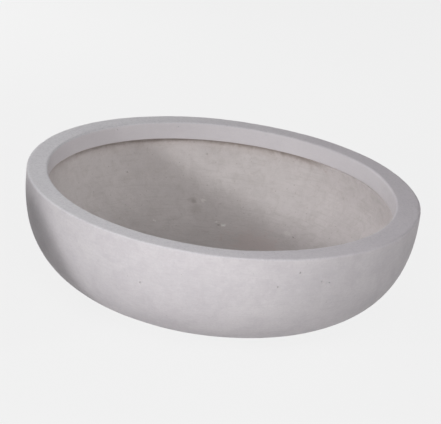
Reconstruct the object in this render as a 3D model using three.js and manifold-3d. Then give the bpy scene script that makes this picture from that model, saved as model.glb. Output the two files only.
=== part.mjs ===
// A round concrete bowl planter, built as such planters are cast: a smooth cement face coat that forms the outside,
// the flat rim and the upright band inside the rim; a net of glass-fibre strands laid on its back; and a coarser
// fibre-cement backing that fills the rim and shows, rough, inside. The wall is thinner than the rim, so the rim
// overhangs the inside. A rubber stopper closes the drain hole, and four rubber pads keep the base off the floor.
//
// Millimetres, +Z up. The origin is on the floor, under the middle of the bowl.

import * as THREE from "three";
import { mergeVertices } from "three/addons/utils/BufferGeometryUtils.js";
import Module from "manifold-3d";

// Outside of the bowl.
const RIM_RADIUS = 250; // outer edge of the rim, the widest place
const BODY_HEIGHT = 144; // underside of the base to the top of the rim
const BASE_RADIUS = 105; // flat part of the underside
const SIDE_POWER = 2.55; // the side is a superellipse: 2 is an ellipse, and above 2 it is fuller

// Rim.
const RIM_WIDTH = 27; // flat top face
const BAND_DEPTH = 24; // upright band inside the rim, down to its lower edge
const RIM_EDGE_RADIUS = 2.5; // both edges of the top face
const BAND_EDGE_RADIUS = 1; // lower edge of the band
const COVE_RADIUS = 6; // hollow corner where the underside of the rim meets the wall

// Layers of the wall, from the outside in.
const FACE_COAT_THICKNESS = 3.5;
const NET_THICKNESS = 1.2;
const BACKING_THICKNESS = 8.7;
const LAYER_GAP = 0.3; // between two layers
const STRAND_WIDTH = 4; // of the net
const MERIDIAN_STRANDS = 12;
const HOOP_STRANDS = 6;
const NET_TOP_DEPTH = 14; // how far below the rim's top face the net ends, inside the rim

// Drain hole and its stopper.
const DRAIN_RADIUS = 11;
const STOPPER_CLEARANCE = 0.3; // round the stem, and under the flange
const STOPPER_TAPER = 0.8; // how much thinner the stem's radius is at its foot
const STOPPER_FLANGE_WIDTH = 6; // beyond the edge of the hole
const STOPPER_FLANGE_THICKNESS = 3;
const STOPPER_FOOT_RECESS = 1.5; // from the underside of the base up to the stem's foot
const STOPPER_WALL = 2.6; // of the stem, which is hollow from below
const STOPPER_CROWN = 4; // solid top of the stem, below the flange's top face
const KNOB_RADIUS = 7;
const KNOB_NECK_RADIUS = 4;
const KNOB_NECK_HEIGHT = 5;
const KNOB_THICKNESS = 5;

// Feet.
const FOOT_COUNT = 4;
const FOOT_RADIUS = 12;
const FOOT_HEIGHT = 3;
const FOOT_CIRCLE_RADIUS = 80; // through the middles of the feet
const FOOT_BEVEL = 0.8; // round the sole

// Facets.
const SIDES = 48; // round the bowl, a multiple of MERIDIAN_STRANDS so that a strand lies on a corner
const SIDE_STEPS = 12; // up the side
const EDGE_STEPS = 3; // round each small edge
const SMALL_SIDES = 24; // round the stopper and the feet

const BASE_Z = FOOT_HEIGHT;
const RIM_Z = BASE_Z + BODY_HEIGHT;
const BAND_RADIUS = RIM_RADIUS - RIM_WIDTH;
const LIP_Z = RIM_Z - BAND_DEPTH; // underside of the rim's overhang
const NET_OFFSET = FACE_COAT_THICKNESS + LAYER_GAP;
const BACKING_OFFSET = NET_OFFSET + NET_THICKNESS + LAYER_GAP;
const WALL_THICKNESS = BACKING_OFFSET + BACKING_THICKNESS;
const FLOOR_Z = BASE_Z + WALL_THICKNESS;
const COLLAR_RADIUS = DRAIN_RADIUS + FACE_COAT_THICKNESS; // the face coat lines the drain hole

const FACE_CEMENT = new THREE.MeshStandardMaterial({ color: 0xc6c2c5, roughness: 0.78, metalness: 0 });
const BACKING_CEMENT = new THREE.MeshStandardMaterial({ color: 0xa8a19d, roughness: 0.92, metalness: 0 });
const GLASS_FIBRE = new THREE.MeshStandardMaterial({ color: 0xe6e8e2, roughness: 0.5, metalness: 0 });
const STOPPER_RUBBER = new THREE.MeshStandardMaterial({ color: 0x262626, roughness: 0.7, metalness: 0 });
const FOOT_RUBBER = new THREE.MeshStandardMaterial({ color: 0x303030, roughness: 0.85, metalness: 0 });

const wasm = await Module();
wasm.setup();

const point = (radius, z) => new THREE.Vector2(radius, z);

// A closed profile of (radius, z) points, in order round the section, turned about the Z axis.
function revolved(profile, sides = SIDES) {
  const onAxis = profile[0].x === 0 && profile[profile.length - 1].x === 0;
  const closed = onAxis ? profile : [...profile, profile[0]];
  return new THREE.LatheGeometry(closed, sides).rotateX(Math.PI / 2);
}

// Points of a circle's arc, from one angle to another, in degrees.
function arc(centreRadius, centreZ, radius, fromDegrees, toDegrees, steps = EDGE_STEPS) {
  const points = [];
  for (let i = 0; i <= steps; i++) {
    const angle = THREE.MathUtils.degToRad(fromDegrees + ((toDegrees - fromDegrees) * i) / steps);
    points.push(point(centreRadius + radius * Math.cos(angle), centreZ + radius * Math.sin(angle)));
  }
  return points;
}

// The side of the bowl from the rim down to the flat of the base, moved inwards by an offset square to the outside.
// Every offset has its points at the same directions, so that the layers' facets lie parallel.
function sideLine(offset) {
  const halfWidth = RIM_RADIUS - BASE_RADIUS;
  const points = [];
  for (let i = 0; i <= SIDE_STEPS; i++) {
    const turn = ((Math.PI / 2) * i) / SIDE_STEPS; // direction the outside faces: 0 is outwards, a right angle is down
    const last = i === SIDE_STEPS;
    const slope = last ? 0 : Math.pow((Math.tan(turn) * BODY_HEIGHT) / halfWidth, 1 / (SIDE_POWER - 1));
    const across = last ? 0 : Math.pow(1 + Math.pow(slope, SIDE_POWER), -1 / SIDE_POWER);
    const down = last ? 1 : slope * across;
    points.push(
      point(
        BASE_RADIUS + halfWidth * across - offset * Math.cos(turn),
        RIM_Z - BODY_HEIGHT * down + offset * Math.sin(turn),
      ),
    );
  }
  return points;
}

// The part of a side line below a height, starting exactly at that height.
function below(line, z) {
  const next = line.findIndex((p) => p.y < z);
  const share = (line[next - 1].y - z) / (line[next - 1].y - line[next].y);
  return [line[next - 1].clone().lerp(line[next], share), ...line.slice(next)];
}

// Smooth outside, rim and band, with a collar that lines the drain hole.
function faceCoat() {
  const outside = below(sideLine(0), RIM_Z - RIM_EDGE_RADIUS);
  const back = below(sideLine(FACE_COAT_THICKNESS), RIM_Z - FACE_COAT_THICKNESS);
  const rimEdge = outside[0].x - RIM_EDGE_RADIUS;
  return revolved([
    point(DRAIN_RADIUS, BASE_Z),
    ...outside.toReversed(),
    ...arc(rimEdge, RIM_Z - RIM_EDGE_RADIUS, RIM_EDGE_RADIUS, 0, 90).slice(1),
    ...arc(BAND_RADIUS + RIM_EDGE_RADIUS, RIM_Z - RIM_EDGE_RADIUS, RIM_EDGE_RADIUS, 90, 180),
    ...arc(BAND_RADIUS + BAND_EDGE_RADIUS, LIP_Z + BAND_EDGE_RADIUS, BAND_EDGE_RADIUS, 180, 270),
    point(BAND_RADIUS + FACE_COAT_THICKNESS, LIP_Z),
    point(BAND_RADIUS + FACE_COAT_THICKNESS, RIM_Z - FACE_COAT_THICKNESS),
    ...back,
    point(COLLAR_RADIUS, BASE_Z + FACE_COAT_THICKNESS),
    point(COLLAR_RADIUS, FLOOR_Z),
    point(DRAIN_RADIUS, FLOOR_Z),
  ]);
}

// Coarse fibre cement: fills the rim, backs the face coat and the net, and is the inside of the bowl.
function backingCoat() {
  const rimCore = FACE_COAT_THICKNESS + LAYER_GAP; // distance from the rim's faces
  const netEnd = RIM_Z - NET_TOP_DEPTH + LAYER_GAP; // the backing swells out to the face coat above the net
  const upper = below(sideLine(rimCore), RIM_Z - rimCore);
  const lower = below(sideLine(BACKING_OFFSET), netEnd);
  const shoulder = below(sideLine(rimCore), netEnd)[0];
  const inside = below(sideLine(WALL_THICKNESS), LIP_Z - COVE_RADIUS);
  const holeEdge = COLLAR_RADIUS + LAYER_GAP;
  return revolved([
    point(holeEdge, BASE_Z + BACKING_OFFSET),
    ...lower.toReversed(),
    shoulder,
    ...upper.filter((p) => p.y > netEnd).toReversed(),
    point(BAND_RADIUS + rimCore, RIM_Z - rimCore),
    point(BAND_RADIUS + rimCore, LIP_Z),
    ...arc(inside[0].x - COVE_RADIUS, LIP_Z - COVE_RADIUS, COVE_RADIUS, 90, 0),
    ...inside.slice(1),
    point(holeEdge, FLOOR_Z),
  ]);
}

// A closed mesh as a manifold-3d solid, and back.
function solidOf(geometry) {
  const bare = geometry.clone();
  bare.deleteAttribute("normal");
  bare.deleteAttribute("uv");
  const merged = mergeVertices(bare, 1e-3);
  return new wasm.Manifold(
    new wasm.Mesh({
      numProp: 3,
      vertProperties: merged.attributes.position.array,
      triVerts: new Uint32Array(merged.index.array),
    }),
  );
}

function geometryOf(solid) {
  const mesh = solid.getMesh();
  return new THREE.BufferGeometry()
    .setAttribute("position", new THREE.BufferAttribute(mesh.vertProperties, 3))
    .setIndex(new THREE.BufferAttribute(mesh.triVerts, 1));
}

// Net of glass-fibre strands: strips of one thin shell, cut out along meridians and joined by hoops.
function glassNet() {
  const top = RIM_Z - NET_TOP_DEPTH;
  const endRadius = COLLAR_RADIUS + LAYER_GAP;
  const outer = [...below(sideLine(NET_OFFSET), top), point(endRadius, BASE_Z + NET_OFFSET)];
  const inner = [...below(sideLine(NET_OFFSET + NET_THICKNESS), top), point(endRadius, BASE_Z + NET_OFFSET + NET_THICKNESS)];
  const shell = solidOf(revolved([...outer.toReversed(), ...inner]));
  let strips = null;
  for (let i = 0; i < MERIDIAN_STRANDS; i++) {
    const strip = solidOf(
      new THREE.BoxGeometry(RIM_RADIUS, STRAND_WIDTH, RIM_Z)
        .translate(RIM_RADIUS / 2, 0, RIM_Z / 2)
        .rotateZ((2 * Math.PI * i) / MERIDIAN_STRANDS),
    );
    strips = strips ? strips.add(strip) : strip;
  }
  let net = shell.intersect(strips);
  const lengths = outer.slice(1).map((p, i) => p.distanceTo(outer[i]));
  const spacing = lengths.reduce((sum, length) => sum + length, 0) / HOOP_STRANDS;
  for (let i = 0; i < HOOP_STRANDS; i++) {
    let segment = 0;
    let along = (i + 0.5) * spacing;
    while (along > lengths[segment]) along -= lengths[segment++];
    net = net.add(solidOf(hoop(outer, inner, segment, along / lengths[segment], lengths[segment])));
  }
  return geometryOf(net);
}

// One hoop of the net: a strand's width of the shell, kept inside one segment of its profile.
function hoop(outer, inner, segment, share, length) {
  const half = STRAND_WIDTH / 2 / length;
  const middle = THREE.MathUtils.clamp(share, half, 1 - half);
  const at = (line, where) => line[segment].clone().lerp(line[segment + 1], where);
  return revolved([
    at(outer, middle + half),
    at(outer, middle - half),
    at(inner, middle - half),
    at(inner, middle + half),
  ]);
}

// Rubber stopper, pushed in from inside: a hollow tapered stem, a flange on the floor and a knob to pull it by.
function drainStopper() {
  const flangeZ = FLOOR_Z + STOPPER_CLEARANCE;
  const flangeTop = flangeZ + STOPPER_FLANGE_THICKNESS;
  const flangeRadius = DRAIN_RADIUS + STOPPER_FLANGE_WIDTH;
  const stemRadius = DRAIN_RADIUS - STOPPER_CLEARANCE;
  const footRadius = stemRadius - STOPPER_TAPER;
  const footZ = BASE_Z + STOPPER_FOOT_RECESS;
  const knobZ = flangeTop + KNOB_NECK_HEIGHT;
  const knobRound = KNOB_THICKNESS / 2;
  return revolved(
    [
      point(0, flangeTop - STOPPER_CROWN),
      point(footRadius - STOPPER_WALL, flangeTop - STOPPER_CROWN),
      point(footRadius - STOPPER_WALL, footZ),
      point(footRadius, footZ),
      point(stemRadius, flangeZ),
      point(flangeRadius, flangeZ),
      ...arc(flangeRadius - STOPPER_FLANGE_THICKNESS / 2, flangeTop - STOPPER_FLANGE_THICKNESS / 2,
        STOPPER_FLANGE_THICKNESS / 2, 0, 90),
      point(KNOB_NECK_RADIUS, flangeTop),
      point(KNOB_NECK_RADIUS, knobZ),
      ...arc(KNOB_RADIUS - knobRound, knobZ + knobRound, knobRound, -90, 90, 2 * EDGE_STEPS),
      point(0, knobZ + KNOB_THICKNESS),
    ],
    SMALL_SIDES,
  );
}

// Round rubber pad with a bevelled sole, stuck to the underside of the base.
function footPad() {
  return revolved(
    [
      point(0, 0),
      point(FOOT_RADIUS - FOOT_BEVEL, 0),
      point(FOOT_RADIUS, FOOT_BEVEL),
      point(FOOT_RADIUS, FOOT_HEIGHT),
      point(0, FOOT_HEIGHT),
    ],
    SMALL_SIDES,
  );
}

const planter = new THREE.Group();

function addPiece(name, geometry, material) {
  const mesh = new THREE.Mesh(geometry, material);
  mesh.name = name;
  planter.add(mesh);
  return mesh;
}

addPiece("face_coat", faceCoat(), FACE_CEMENT);
addPiece("glass_fibre_net", glassNet(), GLASS_FIBRE);
addPiece("backing_coat", backingCoat(), BACKING_CEMENT);
addPiece("drain_stopper", drainStopper(), STOPPER_RUBBER);
for (let i = 0; i < FOOT_COUNT; i++) {
  const angle = (2 * Math.PI * (i + 0.5)) / FOOT_COUNT;
  const pad = addPiece(`foot_pad_${i + 1}`, footPad(), FOOT_RUBBER);
  pad.position.set(FOOT_CIRCLE_RADIUS * Math.cos(angle), FOOT_CIRCLE_RADIUS * Math.sin(angle), 0);
}

export default planter;
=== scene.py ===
import math
import random

import bmesh
import bpy
import numpy as np
from mathutils import Matrix, Vector, noise


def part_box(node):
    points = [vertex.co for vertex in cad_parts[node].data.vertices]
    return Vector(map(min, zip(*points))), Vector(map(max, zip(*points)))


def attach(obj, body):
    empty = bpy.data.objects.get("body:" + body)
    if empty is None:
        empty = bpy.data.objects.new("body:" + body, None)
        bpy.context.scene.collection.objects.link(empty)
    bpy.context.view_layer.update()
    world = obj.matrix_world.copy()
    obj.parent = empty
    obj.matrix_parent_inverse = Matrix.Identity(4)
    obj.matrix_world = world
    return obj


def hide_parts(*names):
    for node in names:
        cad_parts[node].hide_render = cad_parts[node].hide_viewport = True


# A round concrete bowl planter in the row's frame: metres, +Z up, the floor at Z = 0.
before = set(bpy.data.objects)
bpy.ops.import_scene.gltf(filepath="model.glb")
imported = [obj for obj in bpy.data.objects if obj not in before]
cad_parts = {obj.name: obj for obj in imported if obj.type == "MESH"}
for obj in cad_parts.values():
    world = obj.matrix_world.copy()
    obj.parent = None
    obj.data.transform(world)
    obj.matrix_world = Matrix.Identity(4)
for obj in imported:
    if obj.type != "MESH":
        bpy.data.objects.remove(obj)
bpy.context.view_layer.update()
rng = random.Random(27)

# ---------------------------------------------------------------- sizes, in metres

RIM_RADIUS = 0.250
RIM_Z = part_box("face_coat")[1].z
BASE_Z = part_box("face_coat")[0].z
BODY_HEIGHT = RIM_Z - BASE_Z
BASE_RADIUS = 0.105
SIDE_POWER = 2.55  # the side is a superellipse
RIM_WIDTH = 0.027
BAND_DEPTH = 0.024  # of the upright band inside the rim
RIM_EDGE_RADIUS = 0.0032
INNER_EDGE_RADIUS = 0.0034
BAND_EDGE_RADIUS = 0.001
COVE_RADIUS = 0.006  # hollow corner under the overhang of the rim
FACE_COAT = 0.0035
LAYER_GAP = 0.0003
NET_THICKNESS = 0.0012
NET_TOP_DEPTH = 0.014
BACKING_OFFSET = FACE_COAT + NET_THICKNESS + 2 * LAYER_GAP
WALL = BACKING_OFFSET + 0.0087
DRAIN_RADIUS = 0.011
HOLE_CHAMFER = 0.0008
COLLAR_RADIUS = DRAIN_RADIUS + FACE_COAT
LEVEL_RING = 0.006  # how far the even floor round the collar reaches

BAND_RADIUS = RIM_RADIUS - RIM_WIDTH
LIP_Z = RIM_Z - BAND_DEPTH
FLOOR_Z = BASE_Z + WALL

# On the right the backing is filled up to the band, in a bulging slope that starts just behind the band.
FILL_AZIMUTH = math.radians(12)
FILL_FADE = 0.45, 0.79  # cosines of the angle away from it, between which the fill sets in
FILL_DEPTH = 0.048
FILL_RADIUS = BAND_RADIUS + 0.0008
FILL_BULGE = 1.25

# At the front right the inner side of the rim stands further in.
BROAD_AZIMUTH = math.radians(-25)
BROAD_FADE = 0.5, 0.8
BROADER_BY = 0.0042
BROAD_REACH = 0.01  # how far inside the band the mesh is moved along

# Noise sizes and the threshold of the nicks in a worn edge.
NICK_SIZE, FINE_NICK_SIZE, NICK_THRESHOLD = 0.009, 0.0035, 0.32

SIDES, STOPPER_SIDES, FOOT_SIDES = 400, 96, 64
SIDE_STEPS = 240  # of the line that the profiles are spaced along
FINE, MIDDLE, COARSE = 0.0005, 0.003, 0.009  # spacing of points along a profile
SHARP_ANGLE = math.radians(38)

# ---------------------------------------------------------------- profiles: rows of (radius, z)


def side_line(offset):
    """The side of the bowl from the rim to the flat of the base, moved in by an offset."""
    half_width = RIM_RADIUS - BASE_RADIUS
    turn = np.linspace(0, math.pi / 2, SIDE_STEPS + 1)[:-1]
    slope = (np.tan(turn) * BODY_HEIGHT / half_width) ** (1 / (SIDE_POWER - 1))
    across = (1 + slope**SIDE_POWER) ** (-1 / SIDE_POWER)
    radius = BASE_RADIUS + half_width * across - offset * np.cos(turn)
    z = RIM_Z - BODY_HEIGHT * slope * across + offset * np.sin(turn)
    return np.vstack([np.column_stack([radius, z]), [BASE_RADIUS, BASE_Z + offset]])


def below(line, z):
    """The part of a side line below a height, starting exactly there."""
    start = np.interp(-z, -line[:, 1], line[:, 0])
    return np.vstack([[start, z], line[line[:, 1] < z]])


def arc(centre_radius, centre_z, radius, start, end, points=25):
    """Points of a circle's arc, between two angles in degrees."""
    angle = np.radians(np.linspace(start, end, points))
    return np.column_stack([centre_radius + radius * np.cos(angle), centre_z + radius * np.sin(angle)])


def run(points, spacing, wave=0.0, edge=0.0):
    """A stretch of a profile at even spacing, without its last point. wave and edge are how much of the
    unevenness and of the edge wear its points take."""
    points = np.asarray(points, float)
    along = np.concatenate([[0], np.cumsum(np.linalg.norm(np.diff(points, axis=0), axis=1))])
    count = max(1, round(along[-1] / spacing))
    where = np.linspace(0, along[-1], count + 1)[:-1]
    radius, z = (np.interp(where, along, points[:, k]) for k in (0, 1))
    return np.column_stack([radius, z, np.full(count, wave), np.full(count, edge)])


def face_profile():
    """The face coat: underside, outside, rim, band, and then its back and the lining of the drain hole."""
    outside = below(side_line(0), RIM_Z - RIM_EDGE_RADIUS)
    back = below(side_line(FACE_COAT), RIM_Z - FACE_COAT)
    outer_edge = outside[0, 0] - RIM_EDGE_RADIUS
    inner_edge = BAND_RADIUS + INNER_EDGE_RADIUS
    outer_arc = arc(outer_edge, RIM_Z - RIM_EDGE_RADIUS, RIM_EDGE_RADIUS, 0, 90)
    inner_arc = arc(inner_edge, RIM_Z - INNER_EDGE_RADIUS, INNER_EDGE_RADIUS, 90, 180)
    band_edge = BAND_RADIUS + BAND_EDGE_RADIUS
    band_arc = arc(band_edge, LIP_Z + BAND_EDGE_RADIUS, BAND_EDGE_RADIUS, 180, 270)
    lip_corner = (BAND_RADIUS + FACE_COAT, LIP_Z)
    return np.vstack([
        run([(DRAIN_RADIUS + HOLE_CHAMFER, BASE_Z), (BASE_RADIUS, BASE_Z)], MIDDLE, wave=0.2),
        run(outside[::-1], MIDDLE, wave=1),
        run(outer_arc, FINE, wave=1, edge=1),
        run([(outer_edge, RIM_Z), (inner_edge, RIM_Z)], MIDDLE, wave=1),
        run(inner_arc, FINE, wave=1, edge=1),
        run([(BAND_RADIUS, RIM_Z - INNER_EDGE_RADIUS), (BAND_RADIUS, LIP_Z + BAND_EDGE_RADIUS)], MIDDLE, wave=1),
        run(band_arc, FINE, wave=1, edge=0.4),
        run([(band_edge, LIP_Z), lip_corner], FINE),
        run([lip_corner, (lip_corner[0], RIM_Z - FACE_COAT), *back], COARSE),
        run([back[-1], (COLLAR_RADIUS, BASE_Z + FACE_COAT)], COARSE),
        run([(COLLAR_RADIUS, BASE_Z + FACE_COAT), (COLLAR_RADIUS, FLOOR_Z)], COARSE),
        run([(COLLAR_RADIUS, FLOOR_Z), (DRAIN_RADIUS, FLOOR_Z)], MIDDLE),
        run([(DRAIN_RADIUS, FLOOR_Z), (DRAIN_RADIUS, BASE_Z + HOLE_CHAMFER)], MIDDLE),
        run([(DRAIN_RADIUS, BASE_Z + HOLE_CHAMFER), (DRAIN_RADIUS + HOLE_CHAMFER, BASE_Z)], FINE),
    ])


def backing_profile(filled=False):
    """The backing under the overhang of the rim, or filled up to the band with a slope. Both have as many points."""
    core = FACE_COAT + LAYER_GAP
    net_end = RIM_Z - NET_TOP_DEPTH + LAYER_GAP
    upper = below(side_line(core), RIM_Z - core)
    lower = below(side_line(BACKING_OFFSET), net_end)
    inside = below(side_line(WALL), LIP_Z - COVE_RADIUS)
    hole_edge = COLLAR_RADIUS + LAYER_GAP
    ring_edge = COLLAR_RADIUS + LEVEL_RING
    cove = arc(inside[0, 0] - COVE_RADIUS, LIP_Z - COVE_RADIUS, COVE_RADIUS, 90, 0)
    rim_core = (BAND_RADIUS + core, RIM_Z - core)
    lip = (BAND_RADIUS + core, LIP_Z)
    under_lip = run([lip, cove[0]], MIDDLE, wave=0.2)
    corner = run(cove, MIDDLE / 2, wave=0.5)
    wall = run(inside, MIDDLE, wave=1)
    if filled:
        top = LIP_Z - LAYER_GAP
        under_lip[1:, :2] = np.linspace(lip, (FILL_RADIUS, top), len(under_lip))[1:]
        sloped = np.vstack([corner, wall[wall[:, 1] > LIP_Z - FILL_DEPTH]])
        last = len(sloped)
        way = np.arange(1, last + 1) / (last + 1)
        end = wall[last - len(corner)]
        sloped[:, 1] = top + way * (end[1] - top)
        bulge = (1 - way) ** FILL_BULGE
        line_radius = np.interp(-sloped[:, 1], -inside[:, 1], inside[:, 0])
        sloped[:, 0] = line_radius + bulge * (FILL_RADIUS - inside[0, 0])
        corner[:, :2] = sloped[:len(corner), :2]
        wall[:last - len(corner), :2] = sloped[len(corner):, :2]
    return np.vstack([
        run([(hole_edge, BASE_Z + BACKING_OFFSET), *lower[::-1]], COARSE),
        run([*upper[upper[:, 1] > net_end][::-1], rim_core, lip], COARSE),
        under_lip,
        corner,
        wall,
        run([inside[-1], (ring_edge, FLOOR_Z)], MIDDLE, wave=1),
        run([(ring_edge, FLOOR_Z), (hole_edge, FLOOR_Z)], MIDDLE),
        run([(hole_edge, FLOOR_Z), (hole_edge, BASE_Z + BACKING_OFFSET)], MIDDLE),
    ])


def smooth(start, end, value):
    """A share from 0 at the start to 1 at the end, with soft ends."""
    share = min(1.0, max(0.0, (value - start) / (end - start)))
    return share * share * (3 - 2 * share)


def filled_share(angle):
    """How far the backing is filled up to the band: on the right, fading out to both sides."""
    return smooth(*FILL_FADE, math.cos(angle - FILL_AZIMUTH))


# ---------------------------------------------------------------- meshes


def new_object(name, data):
    made = bpy.data.objects.new(name, data)
    bpy.context.scene.collection.objects.link(made)
    return made


def new_piece(name, mesh, material, body, node_slot, *replaced):
    """A visible piece that rides on a body, stands for CAD nodes, which it hides, and takes the given material.
    node_slot is not used.
    """
    mesh.materials.append(material)
    piece = new_object(name, mesh)
    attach(piece, body)
    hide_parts(*replaced)
    return piece


def uneven(place, scales):
    """Smooth random unevenness at a place: the sum over (size of the unevenness, height of it), in metres."""
    return sum(height * noise.noise(Vector(place) / size) for size, height in scales)


def revolved_mesh(name, profile, sides, scales=(), wear=0.0, closed=True, other=None, other_share=None):
    """A profile turned about Z. Its points are pushed along their normals by the unevenness, and worn back along
    the edges. A profile that isn't closed starts and ends on the axis. Another profile of as many points takes
    over by a share that depends on the angle."""
    profile = np.asarray(profile, float)
    if profile.shape[1] == 2:
        profile = np.column_stack([profile, np.zeros((len(profile), 2))])
    bm = bmesh.new()
    columns = []
    for k in range(sides):
        angle = 2 * math.pi * k / sides
        cos, sin = math.cos(angle), math.sin(angle)
        line = profile if other is None else profile + (other - profile) * other_share(angle)
        tangent = np.roll(line[:, :2], -1, axis=0) - np.roll(line[:, :2], 1, axis=0)
        normal = np.column_stack([tangent[:, 1], -tangent[:, 0]]) / np.linalg.norm(tangent, axis=1)[:, None]
        column = []
        for (radius, z, wave, edge), (out, rise) in zip(line, normal):
            if radius == 0:
                column.append(columns[0][len(column)] if columns else bm.verts.new((0, 0, z)))
                continue
            x, y = radius * cos, radius * sin
            push = 0.0
            if wave:
                push += wave * uneven((x, y, z), scales)
            if edge and wear:
                nick = noise.noise(Vector((x, y, 0)) / NICK_SIZE)
                nick += 0.5 * noise.noise(Vector((x, y, z)) / FINE_NICK_SIZE)
                push -= edge * wear * max(0.0, nick - NICK_THRESHOLD)
            reach = radius + push * out
            column.append(bm.verts.new((reach * cos, reach * sin, z + push * rise)))
        columns.append(column)
    last = len(profile) if closed else len(profile) - 1
    for here, there in zip(columns, columns[1:] + columns[:1]):
        for k in range(last):
            after = (k + 1) % len(profile)
            corners = []
            for vertex in (here[k], there[k], there[after], here[after]):
                if vertex not in corners:
                    corners.append(vertex)
            bm.faces.new(corners)
    bmesh.ops.recalc_face_normals(bm, faces=bm.faces)
    mesh = bpy.data.meshes.new(name)
    bm.to_mesh(mesh)
    bm.free()
    mesh.shade_smooth()
    mesh.set_sharp_from_angle(angle=SHARP_ANGLE)
    return mesh


def surface_frame(line, azimuth, depth, inward=False):
    """A point on the turned line at an azimuth in degrees and a depth below the rim, and the outward normal there,
    or the inward one."""
    z = RIM_Z - depth
    k = int(np.clip(np.searchsorted(-line[:, 1], -z), 1, len(line) - 1))
    start, end = line[k - 1], line[k]
    share = np.clip((start[1] - z) / max(start[1] - end[1], 1e-9), 0, 1)
    radius = start[0] + share * (end[0] - start[0])
    tangent = (end - start) / np.linalg.norm(end - start)
    out, rise = -tangent[1], tangent[0]
    if inward:
        out, rise = -out, -rise
    cos, sin = math.cos(math.radians(azimuth)), math.sin(math.radians(azimuth))
    return Vector((radius * cos, radius * sin, z)), Vector((out * cos, out * sin, rise))


def carve(piece, lumps, how="DIFFERENCE"):
    """Cuts air pits into a piece, or adds crumbs to it with "UNION". Each is (point on the surface, normal there,
    width, depth or height as a share of the width), and leans and turns at random."""
    bm = bmesh.new()
    for point, normal, width, share in lumps:
        ball = bmesh.ops.create_icosphere(bm, subdivisions=2, radius=1.0)
        lean = Vector((rng.uniform(-0.2, 0.2), rng.uniform(-0.2, 0.2), 1))
        turn = normal.to_track_quat("Z", "Y").to_matrix().to_4x4() @ Matrix.Rotation(rng.uniform(0, 6.28), 4, "Z")
        size = Matrix.Diagonal((width / 2, width / 2 * rng.uniform(0.7, 1.0), width * share, 1))
        tilt = lean.to_track_quat("Z", "Y").to_matrix().to_4x4()
        bmesh.ops.transform(bm, matrix=Matrix.Translation(point) @ turn @ tilt @ size, verts=ball["verts"])
    mesh = bpy.data.meshes.new("lumps")
    bm.to_mesh(mesh)
    bm.free()
    cutter = new_object("lumps", mesh)
    cut = piece.modifiers.new("lumps", "BOOLEAN")
    cut.operation, cut.solver, cut.object = how, "MANIFOLD", cutter
    bpy.context.view_layer.update()
    done = bpy.data.meshes.new_from_object(piece.evaluated_get(bpy.context.evaluated_depsgraph_get()))
    while len(done.materials) > 1:
        done.materials.pop()
    piece.modifiers.clear()
    piece.data = done
    done.shade_smooth()
    done.set_sharp_from_angle(angle=SHARP_ANGLE)
    bpy.data.objects.remove(cutter)


def broaden_rim(piece):
    """Moves the inner side of the rim inwards at the front right, where the photograph shows it broader. The push
    fades out smoothly round the bowl, towards the outer edge and down the inside, so all the layers keep together."""
    for vertex in piece.data.vertices:
        x, y, z = vertex.co
        radius = math.hypot(x, y)
        if z < LIP_Z - FILL_DEPTH or radius < BAND_RADIUS - BROAD_REACH:
            continue
        round_share = smooth(*BROAD_FADE, math.cos(math.atan2(y, x) - BROAD_AZIMUTH))
        rim_share = smooth(RIM_RADIUS - RIM_EDGE_RADIUS, BAND_RADIUS + FACE_COAT, radius)
        height_share = smooth(LIP_Z - FILL_DEPTH, LIP_Z - COVE_RADIUS, z)
        push = BROADER_BY * round_share * rim_share * height_share
        vertex.co = (x * (radius - push) / radius, y * (radius - push) / radius, z)


# ---------------------------------------------------------------- materials


def linear(red, green, blue):
    """A colour written as a screen shows it, from 0 to 255, as the shader wants it."""
    shares = (red / 255, green / 255, blue / 255)
    return (*(v / 12.92 if v <= 0.04045 else ((v + 0.055) / 1.055) ** 2.4 for v in shares), 1.0)


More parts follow.
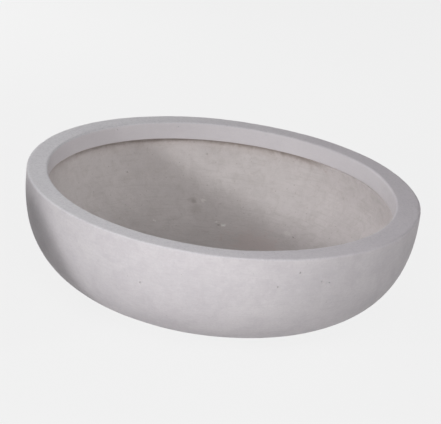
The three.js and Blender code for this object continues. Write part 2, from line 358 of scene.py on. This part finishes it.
class Nodes:
    """A node tree, with one short call for each node or group of nodes."""

    def __init__(self, tree):
        self.tree = tree
        tree.nodes.clear()

    def add(self, kind, inputs=None, **settings):
        node = self.tree.nodes.new(kind)
        for key, value in settings.items():
            setattr(node, key, value)
        for key, value in (inputs or {}).items():
            if isinstance(value, bpy.types.NodeSocket):
                self.tree.links.new(value, node.inputs[key])
            else:
                node.inputs[key].default_value = value
        return node

    def place(self):
        return self.add("ShaderNodeTexCoord").outputs["Object"]

    def noise(self, at, size, detail=3.0, roughness=0.55, distortion=0.0):
        """Noise from 0 to 1 with blotches of about a size in metres."""
        settings = {"Scale": 1 / size, "Detail": detail, "Roughness": roughness, "Distortion": distortion}
        return self.add("ShaderNodeTexNoise", {"Vector": at, **settings}).outputs["Fac"]

    def spread(self, value, low, high, to_low=0.0, to_high=1.0):
        """A value from low to high, spread smoothly over another range and kept in it."""
        limits = {"From Min": low, "From Max": high, "To Min": to_low, "To Max": to_high}
        spread = self.add("ShaderNodeMapRange", {"Value": value, **limits}, interpolation_type="SMOOTHSTEP")
        return spread.outputs["Result"]

    def math(self, how, first, second=0.0, third=0.0):
        return self.add("ShaderNodeMath", {0: first, 1: second, 2: third}, operation=how).outputs[0]

    def times(self, first, second):
        return self.math("MULTIPLY", first, second)

    def weigh(self, value, weight, rest):
        """A value times its weight, added to the rest."""
        return self.math("MULTIPLY_ADD", value, weight, rest)

    def vector(self, how, first, second, output=0):
        return self.add("ShaderNodeVectorMath", {0: first, 1: second}, operation=how).outputs[output]

    def mix(self, share, first, second):
        node = self.add("ShaderNodeMix", data_type="RGBA")
        for key, value in (("Factor_Float", share), ("A_Color", first), ("B_Color", second)):
            socket = next(s for s in node.inputs if s.identifier == key)
            if isinstance(value, bpy.types.NodeSocket):
                self.tree.links.new(value, socket)
            else:
                socket.default_value = value
        return next(s for s in node.outputs if s.identifier == "Result_Color")

    def layers(self, colour, *rows):
        """Lays shades over a colour. Each row is a pattern, its values from and to which the shade comes in, the
        shade's share in full, and the shade."""
        for pattern, low, high, share, shade in rows:
            colour = self.mix(self.spread(pattern, low, high, 0, share), colour, linear(*shade))
        return colour

    def holes(self, at, spacing, chosen, wide):
        """Small holes, 1 in them: about one in each cell of a spacing, but only in chosen cells, and so wide."""
        cells = self.add("ShaderNodeTexVoronoi", {"Vector": at, "Scale": 1 / spacing, "Randomness": 1.0})
        picked = self.spread(cells.outputs["Color"], *chosen)
        return self.times(picked, self.spread(cells.outputs["Distance"], *wide, 1, 0))

    def surface(self, colour, roughness, relief, strength, height, specular=0.5):
        """The material's surface, with a fine relief of a height in metres."""
        bump = self.add("ShaderNodeBump", {"Height": relief, "Strength": strength, "Distance": height})
        shader = self.add("ShaderNodeBsdfPrincipled", {
            "Base Color": colour,
            "Roughness": roughness,
            "Specular IOR Level": specular,
            "Normal": bump.outputs["Normal"],
        })
        self.add("ShaderNodeOutputMaterial", {"Surface": shader.outputs[0]})


def new_material(name):
    material = bpy.data.materials.new(name)
    material.use_nodes = True
    return material, Nodes(material.node_tree)


def round_place(n, at):
    """Distance from the bowl's axis, height, and a place whose first two parts run round the axis in radians."""
    place = n.add("ShaderNodeSeparateXYZ", {0: at}).outputs
    radius = n.math("SQRT", n.weigh(place["X"], place["X"], n.times(place["Y"], place["Y"])))
    safe = n.math("MAXIMUM", radius, 0.001)
    across, along = (n.math("DIVIDE", place[axis], safe) for axis in "XY")
    turned = n.add("ShaderNodeCombineXYZ", {0: across, 1: along, 2: n.math("ADD", radius, place["Z"])}).outputs[0]
    return radius, place["Z"], turned


def streaks(n, turned, length, width):
    """Noise drawn out round the bowl, as a brush or trowel leaves it. length is in radians, width in metres."""
    scaled = n.vector("MULTIPLY", turned, (1 / length, 1 / length, 1 / width))
    return n.noise(scaled, 1.0, detail=3, roughness=0.6)


def face_cement():
    """Smooth cast cement: faintly mottled lilac grey, with pinholes painted darker as shade, and paler on the rim and
    on its inner band, which is painted light.
    """
    material, n = new_material("cast_face")
    at = n.place()
    radius, height, turned = round_place(n, at)
    cloud = n.noise(at, 0.09, detail=4)
    blotch = n.noise(at, 0.026, detail=5, roughness=0.6, distortion=0.6)
    fleck = n.noise(at, 0.0065, detail=3, roughness=0.6)
    grain = n.noise(at, 0.0026, detail=4, roughness=0.7)
    wiped = streaks(n, turned, 0.12, 0.006)
    fine_wiped = streaks(n, turned, 0.045, 0.0022)
    colour = n.mix(n.spread(cloud, 0.3, 0.7), linear(214, 209, 212), linear(223, 218, 220))
    colour = n.layers(
        colour,
        (blotch, 0.42, 0.75, 0.55, (205, 199, 203)),
        (wiped, 0.5, 0.8, 0.4, (206, 200, 205)),
        (fleck, 0.48, 0.8, 0.45, (228, 223, 226)),
        (fine_wiped, 0.42, 0.72, 0.14, (202, 196, 200)),
        (fine_wiped, 0.58, 0.3, 0.1, (232, 228, 229)),
        (grain, 0.4, 0.8, 0.4, (200, 194, 198)),
    )
    side = n.add("ShaderNodeSeparateXYZ", {0: turned}).outputs["X"]  # from -1 on the left to 1 on the right
    # The band is painted paler everywhere but at its right end: painted light.
    above_lip = n.spread(height, LIP_Z - 0.004, LIP_Z - 0.002)
    band = n.times(above_lip, n.spread(radius, BAND_RADIUS + 0.002, BAND_RADIUS + 0.0005))
    colour = n.mix(n.times(band, n.spread(side, 1.0, 0.88, 0.05, 0.6)), colour, linear(232, 228, 231))
    # The rim top is painted paler, lightest and bluest on the left: painted light.
    rim = n.spread(height, RIM_Z - 0.0022, RIM_Z - 0.0008)
    rim_painted_light = n.mix(n.spread(side, -0.8, 0.8), linear(238, 237, 241), linear(221, 215, 221))
    colour = n.mix(n.times(rim, 0.6), colour, rim_painted_light)
    colour = n.mix(n.times(rim, n.spread(grain, 0.42, 0.7, 0, 0.4)), colour, linear(198, 194, 199))
    # The pinholes are painted darker: painted shade in them.
    pinhole = n.holes(at, 0.011, chosen=(0.55, 0.6), wide=(0.035, 0.075))
    colour = n.mix(n.times(pinhole, 0.6), colour, linear(166, 158, 163))
    relief = n.weigh(grain, 0.25, n.weigh(wiped, 0.3, n.times(blotch, 0.4)))
    relief = n.math("SUBTRACT", relief, n.times(pinhole, 0.8))
    n.surface(colour, n.spread(blotch, 0.3, 0.8, 0.72, 0.88), relief, 0.5, 0.0006, specular=0.3)
    return material


def backing_cement():
    """Coarse fibre cement: brownish grey in cloudy patches, gritty and trowelled, paler and pinker on the right,
    which is painted light, and browner and darker under the rim at the back: painted shade of the overhang, with some
    dirt.
    Its pores are painted darker, as shade."""
    material, n = new_material("rough_backing")
    at = n.place()
    _, height, turned = round_place(n, at)
    cloud = n.noise(at, 0.06, detail=4)
    blotch = n.noise(at, 0.017, detail=6, roughness=0.65, distortion=1.0)
    fleck = n.noise(at, 0.006, detail=4, roughness=0.65, distortion=0.8)
    grit = n.noise(at, 0.0022, detail=5, roughness=0.75)
    trowelled = streaks(n, turned, 0.16, 0.0045)
    side = n.add("ShaderNodeSeparateXYZ", {0: turned}).outputs["X"]
    colour = n.mix(n.spread(cloud, 0.3, 0.7), linear(213, 207, 206), linear(222, 216, 215))
    # The first layer paints the right side paler and pinker, where the key lamp lights the inside: painted light.
    colour = n.layers(
        colour,
        (side, 0.0, 1.0, 0.5, (227, 219, 220)),
        (blotch, 0.4, 0.72, 0.45, (200, 194, 191)),
        (trowelled, 0.48, 0.75, 0.4, (200, 194, 191)),
        (fleck, 0.5, 0.8, 0.4, (190, 182, 177)),
        (grit, 0.45, 0.8, 0.35, (234, 230, 228)),
    )
    # Under the rim at the back the inside is painted darker and browner, in a line and a wider haze: painted shade of
    # the overhang, strongest where the key lamp doesn't reach, with some dirt.
    shaded_dirty_side = (math.cos(SHADE_AND_DIRT_AZIMUTH), math.sin(SHADE_AND_DIRT_AZIMUTH), 0)
    at_back = n.spread(n.vector("DOT_PRODUCT", turned, shaded_dirty_side, "Value"), 0.3, 0.62)
    wander = n.weigh(blotch, 0.010, n.weigh(fleck, 0.003, height))
    dirt_and_shade = n.times(n.spread(wander, LIP_Z - 0.004, LIP_Z + 0.005), at_back)
    haze = n.times(n.spread(n.weigh(blotch, 0.014, height), LIP_Z - 0.014, LIP_Z + 0.008), at_back)
    colour = n.mix(n.times(haze, 0.42), colour, linear(180, 167, 158))
    colour = n.mix(n.times(dirt_and_shade, 0.7), colour, linear(154, 141, 133))
    for azimuth, depth, size, share, shade in MARKS:
        place = surface_frame(inside_line, azimuth, depth, inward=True)[0]
        away = n.vector("DISTANCE", at, tuple(place), "Value")
        ragged = n.weigh(n.math("SUBTRACT", fleck, 0.5), size * 1.5, away)
        ragged = n.weigh(n.math("SUBTRACT", blotch, 0.5), size * 3.0, ragged)
        colour = n.mix(n.spread(ragged, size, size * 0.3, 0, share), colour, linear(*shade))
    # The pores are painted darker: painted shade in them.
    pore = n.holes(at, 0.008, chosen=(0.5, 0.55), wide=(0.06, 0.13))
    colour = n.mix(n.times(pore, 0.35), colour, linear(150, 141, 135))
    relief = n.weigh(grit, 0.4, n.weigh(trowelled, 0.7, n.times(blotch, 0.9)))
    relief = n.math("SUBTRACT", relief, n.times(pore, 0.5))
    n.surface(colour, n.spread(blotch, 0.3, 0.8, 0.85, 0.97), relief, 0.5, 0.0009, specular=0.2)
    return material


def rubber(name, colour):
    """Moulded rubber with a fine matte grain and some cement dust on it."""
    material, n = new_material(name)
    at = n.place()
    grain = n.noise(at, 0.0009, detail=3)
    powder = n.noise(at, 0.006, detail=5, roughness=0.7)
    colour = n.layers(colour, (powder, 0.45, 0.8, 0.35, (120, 116, 112)))
    n.surface(colour, n.spread(powder, 0.3, 0.8, 0.5, 0.8), grain, 0.25, 0.0003, specular=0.4)
    return material


def glass_strand():
    """White glass-fibre strands with cement between the fibres."""
    material, n = new_material("glass_strands")
    fibres = n.noise(n.place(), 0.0012, detail=4, roughness=0.7, distortion=1.5)
    colour = n.mix(n.spread(fibres, 0.35, 0.7), linear(236, 238, 232), linear(196, 196, 190))
    n.surface(colour, 0.5, fibres, 0.5, 0.0003)
    return material


# ---------------------------------------------------------------- the bowl

# Pits that show in the photograph: azimuth in degrees, depth below the rim, width.
OUTSIDE_PITS = [
    (-66.3, 0.017, 0.0032), (-56.6, 0.034, 0.0036), (-72.0, 0.035, 0.0028), (-109.9, 0.053, 0.0028),
    (-59.2, 0.0305, 0.002),
]
BAND_PITS = [(132.8, 0.005, 0.003), (108.8, 0.007, 0.003), (77.6, 0.005, 0.0024)]
INSIDE_PITS = [
    (126.1, 0.070, 0.0034), (115.9, 0.081, 0.0032), (130.6, 0.106, 0.0036), (54.6, 0.120, 0.004),
    (97.1, 0.047, 0.003), (90.3, 0.1232, 0.0036), (101.8, 0.079, 0.003),
]

# Crumbs of cement on the inside, written in the same way.
CRUMBS = [(120.7, 0.1217, 0.0026), (88.4, 0.1228, 0.0034), (91.4, 0.1214, 0.0018)]

# Marks on the inside: azimuth, depth, radius, strength, colour. They are a smear, pale and greyish stains, a warm
# # patch, and the pale spots of the crumbs with dark spots beside them; the dark spot at 90.3° sits in a pit and is
# painted shade.
MARKS = [
    (101.6, 0.104, 0.008, 0.26, (164, 155, 149)),
    (100.6, 0.113, 0.011, 0.26, (164, 155, 149)),
    (97.3, 0.103, 0.006, 0.50, (240, 236, 233)),
    (58.5, 0.1185, 0.007, 0.45, (240, 236, 233)),
    (53.0, 0.036, 0.0085, 0.60, (178, 158, 153)),
    (47.5, 0.039, 0.0065, 0.45, (176, 166, 163)),
    (70.0, 0.129, 0.045, 0.40, (206, 190, 186)),
    (120.7, 0.1217, 0.0032, 0.55, (252, 250, 248)),
    (88.4, 0.1228, 0.0042, 0.65, (252, 250, 248)),
    (91.4, 0.1214, 0.0024, 0.35, (252, 250, 248)),
    (90.3, 0.1232, 0.0030, 0.45, (126, 118, 114)),
    (101.2, 0.1050, 0.0040, 0.28, (140, 132, 126)),
]
SHADE_AND_DIRT_AZIMUTH = math.radians(120)  # where the painted shade and dirt under the rim are strongest

outside_line, inside_line = side_line(0), side_line(WALL)
band_line = np.array([(BAND_RADIUS, RIM_Z), (BAND_RADIUS, LIP_Z)])


def scattered(count, top, bottom, small, large):
    """Random pits, most of them small: azimuth, depth below the rim, width."""
    return [
        (rng.uniform(-180, 180), rng.uniform(top, bottom), small + (large - small) * rng.random() ** 3)
        for _ in range(count)
    ]


def placed(line, rows, share, inward=False):
    """Pits or crumbs on a turned line, as carve wants them, with a share of their width as their depth."""
    return [(*surface_frame(line, azimuth, depth, inward), width, share) for azimuth, depth, width in rows]


face_mesh = revolved_mesh("face_skin", face_profile(), SIDES, scales=((0.07, 0.0004), (0.016, 0.0001)), wear=0.0012)
face_skin = new_piece("face_skin", face_mesh, face_cement(), "bowl", "face_cement", "face_coat")
pits = placed(outside_line, OUTSIDE_PITS, 0.7)
pits += placed(outside_line, scattered(46, 0.006, 0.138, 0.0008, 0.002), 0.45)
pits += placed(band_line, BAND_PITS + scattered(16, 0.004, 0.02, 0.0008, 0.002), 0.45, inward=True)
for _ in range(14):  # on top of the rim
    azimuth, radius = rng.uniform(0, 2 * math.pi), rng.uniform(BAND_RADIUS + 0.004, RIM_RADIUS - 0.005)
    place = Vector((radius * math.cos(azimuth), radius * math.sin(azimuth), RIM_Z))
    pits.append((place, Vector((0, 0, 1)), rng.uniform(0.0007, 0.0015), 0.4))
carve(face_skin, pits)
broaden_rim(face_skin)

backing_mesh = revolved_mesh(
    "rough_inside", backing_profile(), SIDES, scales=((0.05, 0.0009), (0.018, 0.0005), (0.007, 0.0002)),
    other=backing_profile(filled=True), other_share=filled_share,
)
rough_inside = new_piece("rough_inside", backing_mesh, backing_cement(), "bowl", "backing_cement", "backing_coat")
pits = placed(inside_line, INSIDE_PITS + scattered(60, 0.034, 0.128, 0.001, 0.0026), 0.5, inward=True)
carve(rough_inside, pits)
carve(rough_inside, placed(inside_line, CRUMBS, 0.4, inward=True), "UNION")
broaden_rim(rough_inside)

# ---------------------------------------------------------------- stopper, feet and net

stopper_low, stopper_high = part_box("drain_stopper")
STOPPER_CLEARANCE = 0.0003  # round the stem, and under the flange
STEM_RADIUS = DRAIN_RADIUS - STOPPER_CLEARANCE
STEM_TAPER = 0.0008
STEM_WALL = 0.0026
STEM_EDGE, STEM_INNER_EDGE = 0.0006, 0.0003
FLANGE_RADIUS = DRAIN_RADIUS + 0.006
FLANGE_Z = FLOOR_Z + STOPPER_CLEARANCE
FLANGE_TOP = FLANGE_Z + 0.003
FLANGE_EDGE, FLANGE_EDGE_RADIUS = 0.0006, 0.0012  # below and above
KNOB_RADIUS, KNOB_NECK, KNOB_HEIGHT = 0.007, 0.004, 0.005
SMALL_ROUND = 0.0008  # in the corners of the neck and of the hollow
CROWN = 0.004  # from the top of the hollow to the top of the flange

stem_foot = STEM_RADIUS - STEM_TAPER
hollow_radius, hollow_top = stem_foot - STEM_WALL, FLANGE_TOP - CROWN
knob_z = stopper_high.z - KNOB_HEIGHT
stopper_profile = np.vstack([
    [(0, hollow_top), (hollow_radius - SMALL_ROUND, hollow_top)],
    arc(hollow_radius - SMALL_ROUND, hollow_top - SMALL_ROUND, SMALL_ROUND, 90, 0, points=5),
    [(hollow_radius, stopper_low.z + STEM_INNER_EDGE), (hollow_radius + STEM_INNER_EDGE, stopper_low.z)],
    [(stem_foot - STEM_EDGE, stopper_low.z), (stem_foot, stopper_low.z + STEM_EDGE)],
    [(STEM_RADIUS, FLANGE_Z), (FLANGE_RADIUS - FLANGE_EDGE, FLANGE_Z)],
    arc(FLANGE_RADIUS - FLANGE_EDGE_RADIUS, FLANGE_TOP - FLANGE_EDGE_RADIUS, FLANGE_EDGE_RADIUS, 0, 90, points=7),
    [(KNOB_NECK + SMALL_ROUND, FLANGE_TOP)],
    arc(KNOB_NECK + SMALL_ROUND, FLANGE_TOP + SMALL_ROUND, SMALL_ROUND, 270, 180, points=4),
    [(KNOB_NECK, knob_z)],
    arc(KNOB_RADIUS - KNOB_HEIGHT / 2, knob_z + KNOB_HEIGHT / 2, KNOB_HEIGHT / 2, -90, 90, points=13),
    [(0, stopper_high.z)],
])
stopper_mesh = revolved_mesh("stopper_rubber", stopper_profile, STOPPER_SIDES, closed=False)
stopper_material = rubber("moulded_stopper", linear(44, 43, 42))
new_piece("stopper_rubber", stopper_mesh, stopper_material, "stopper", "stopper_rubber", "drain_stopper")

FOOT_BEVEL, FOOT_TOP_EDGE = 0.0008, 0.0003
SOLE_RECESS = 0.0004  # of the middle of the sole
SOLE_INNER, SOLE_OUTER = 0.55, 0.6  # its edge, in foot radii

foot_material = rubber("moulded_feet", linear(50, 49, 49))
for foot in sorted(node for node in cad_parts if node.startswith("foot_pad_")):
    low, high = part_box(foot)
    centre, radius = (low + high) / 2, (high.x - low.x) / 2
    foot_profile = np.vstack([
        [(0, SOLE_RECESS), (radius * SOLE_INNER, SOLE_RECESS), (radius * SOLE_OUTER, 0)],
        [(radius - FOOT_BEVEL, 0)],
        arc(radius - FOOT_BEVEL, FOOT_BEVEL, FOOT_BEVEL, -90, 0, points=7),
        [(radius, high.z - FOOT_TOP_EDGE), (radius - FOOT_TOP_EDGE, high.z), (0, high.z)],
    ])
    mesh = revolved_mesh(foot + "_rubber", foot_profile, FOOT_SIDES, closed=False)
    mesh.transform(Matrix.Translation((centre.x, centre.y, low.z)))
    new_piece(foot + "_rubber", mesh, foot_material, "bowl", "foot_rubber", foot)

# The net keeps its CAD mesh, with a better material.
strand = glass_strand()
for material_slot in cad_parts["glass_fibre_net"].material_slots:
    material_slot.material = strand

# ---------------------------------------------------------------- camera

# The photograph was turned a little about the line of sight, and looks slightly below the rim's middle.
CAMERA_DISTANCE = 10.5285 * RIM_RADIUS
CAMERA_ELEVATION = math.radians(20.91)
CAMERA_ROLL = math.radians(7.10)
CAMERA_ASIDE, CAMERA_DOWN = -0.0014 * RIM_RADIUS, -0.1543 * RIM_RADIUS
CAMERA_LENS, CAMERA_SENSOR = 170.0, 36  # in millimetres

back = Vector((0, -math.cos(CAMERA_ELEVATION), math.sin(CAMERA_ELEVATION)))
right = Vector((1, 0, 0))
up = back.cross(right)
camera_data = bpy.data.cameras.new("camera")
camera_data.lens = CAMERA_LENS
camera_data.sensor_width = CAMERA_SENSOR
camera = new_object("camera", camera_data)
rolled_right = math.cos(CAMERA_ROLL) * right + math.sin(CAMERA_ROLL) * up
rolled_up = math.cos(CAMERA_ROLL) * up - math.sin(CAMERA_ROLL) * right
place = Vector((0, 0, RIM_Z)) + CAMERA_DISTANCE * back + CAMERA_ASIDE * right + CAMERA_DOWN * up
camera.matrix_world = Matrix.Translation(place) @ Matrix((rolled_right, rolled_up, back)).transposed().to_4x4()
bpy.context.scene.camera = camera

# ---------------------------------------------------------------- floor, world and lamps

BACKGROUND = linear(240, 240, 240)
FLOOR_HALF = 9.0
FLOOR_COLOUR = (0.8, 0.8, 0.8, 1)  # for the light that it throws back
FLOOR_GLOW = 1.027  # makes up for the small shadow share, so that the floor looks like the backdrop
FLOOR_SHADOW_SHARE = 0.05  # how much of the floor's look comes from the light on it; all of it under the base
UNDER_BASE_FADE = 0.02


def seen_directly(n):
    path = n.add("ShaderNodeLightPath")
    seen = n.math("MAXIMUM", path.outputs["Is Camera Ray"], path.outputs["Is Glossy Ray"])
    return n.math("MAXIMUM", seen, path.outputs["Is Transmission Ray"])


floor_mesh = bpy.data.meshes.new("floor")
floor_corners = [(FLOOR_HALF * x, FLOOR_HALF * y, 0) for x, y in ((-1, -1), (1, -1), (1, 1), (-1, 1))]
floor_mesh.from_pydata(floor_corners, [], [(0, 1, 2, 3)])
floor = new_object("floor", floor_mesh)
material, n = new_material("floor")
plain = n.add("ShaderNodeBsdfDiffuse", {"Color": FLOOR_COLOUR})
glow = n.add("ShaderNodeEmission", {"Color": BACKGROUND, "Strength": FLOOR_GLOW})
from_axis = n.add("ShaderNodeVectorMath", {0: n.place()}, operation="LENGTH").outputs["Value"]
shadowed = n.spread(from_axis, BASE_RADIUS - UNDER_BASE_FADE, BASE_RADIUS, 1, FLOOR_SHADOW_SHARE)
shown = n.add("ShaderNodeMixShader", {0: shadowed, 1: glow.outputs[0], 2: plain.outputs[0]})
surface = n.add("ShaderNodeMixShader", {0: seen_directly(n), 1: plain.outputs[0], 2: shown.outputs[0]})
n.add("ShaderNodeOutputMaterial", {"Surface": surface.outputs[0]})
floor_mesh.materials.append(material)

# The world shows the backdrop and gives no light: the lamps light the bowl.
world = bpy.data.worlds.new("world")
bpy.context.scene.world = world
world.use_nodes = True
n = Nodes(world.node_tree)
unlit = n.add("ShaderNodeBackground", {"Color": (1, 1, 1, 1), "Strength": 0.0})
backdrop = n.add("ShaderNodeBackground", {"Color": BACKGROUND, "Strength": 1.0})
both = n.add("ShaderNodeMixShader", {0: seen_directly(n), 1: unlit.outputs[0], 2: backdrop.outputs[0]})
n.add("ShaderNodeOutputWorld", {"Surface": both.outputs[0]})

LAMP_TARGET = Vector((0, 0, RIM_Z - BODY_HEIGHT / 2))


def softbox(name, azimuth, elevation, distance, size, watts, colour=(1, 1, 1)):
    """A square lamp at an azimuth and elevation in degrees, facing the bowl."""
    data = bpy.data.lights.new(name, "AREA")
    data.size, data.energy, data.color = size, watts, colour
    lamp = new_object(name, data)
    a, e = math.radians(azimuth), math.radians(elevation)
    away = Vector((math.cos(e) * math.cos(a), math.cos(e) * math.sin(a), math.sin(e)))
    facing = away.to_track_quat("Z", "Y").to_matrix().to_4x4()
    lamp.matrix_world = Matrix.Translation(LAMP_TARGET + distance * away) @ facing
    lamp.visible_camera = False
    return lamp


key = softbox("key", -138, 16.5, 2.0, 0.15, 11.8, (0.98, 0.99, 1.0))
softbox("front", -90, 40, 1.5, 0.6, 6.5)
softbox("front_low", -72, 16, 1.5, 0.6, 4.4)
softbox("right", 24, 24, 1.5, 0.6, 3.6)
softbox("back_left", 120, 20, 1.5, 0.6, 7.4)
softbox("left", 165, 42, 1.4, 0.6, 1.3)

# A card stands between the key lamp and the bowl, and shades the left end of the wall under the rim. Its right side
# is round, and to the left it goes on past the bowl, with a top edge that rises a little. Only its shadow is seen.
CARD_DISTANCE, CARD_RADIUS, CARD_LENGTH, CARD_RISE = 0.55, 0.133, 0.40, 0.06
CARD_ASIDE, CARD_DOWN = -0.102, -0.136
card_mesh = bpy.data.meshes.new("card")
card_edge = [(x, y, 0) for x, y in arc(0, 0, CARD_RADIUS, -90, 95)]
card_edge += [(-CARD_LENGTH, CARD_RADIUS + CARD_RISE, 0), (-CARD_LENGTH, -CARD_RADIUS, 0)]
card_mesh.from_pydata(card_edge, [], [range(len(card_edge))])
card = new_object("card", card_mesh)
lamp_frame = key.matrix_world.to_3x3()
card_place = LAMP_TARGET + lamp_frame @ Vector((CARD_ASIDE, CARD_DOWN, CARD_DISTANCE))
card.matrix_world = Matrix.Translation(card_place) @ lamp_frame.to_4x4()
for seen in ("visible_camera", "visible_diffuse", "visible_glossy", "visible_transmission", "visible_volume_scatter"):
    setattr(card, seen, False)

bpy.context.scene.view_settings.view_transform = "Standard"
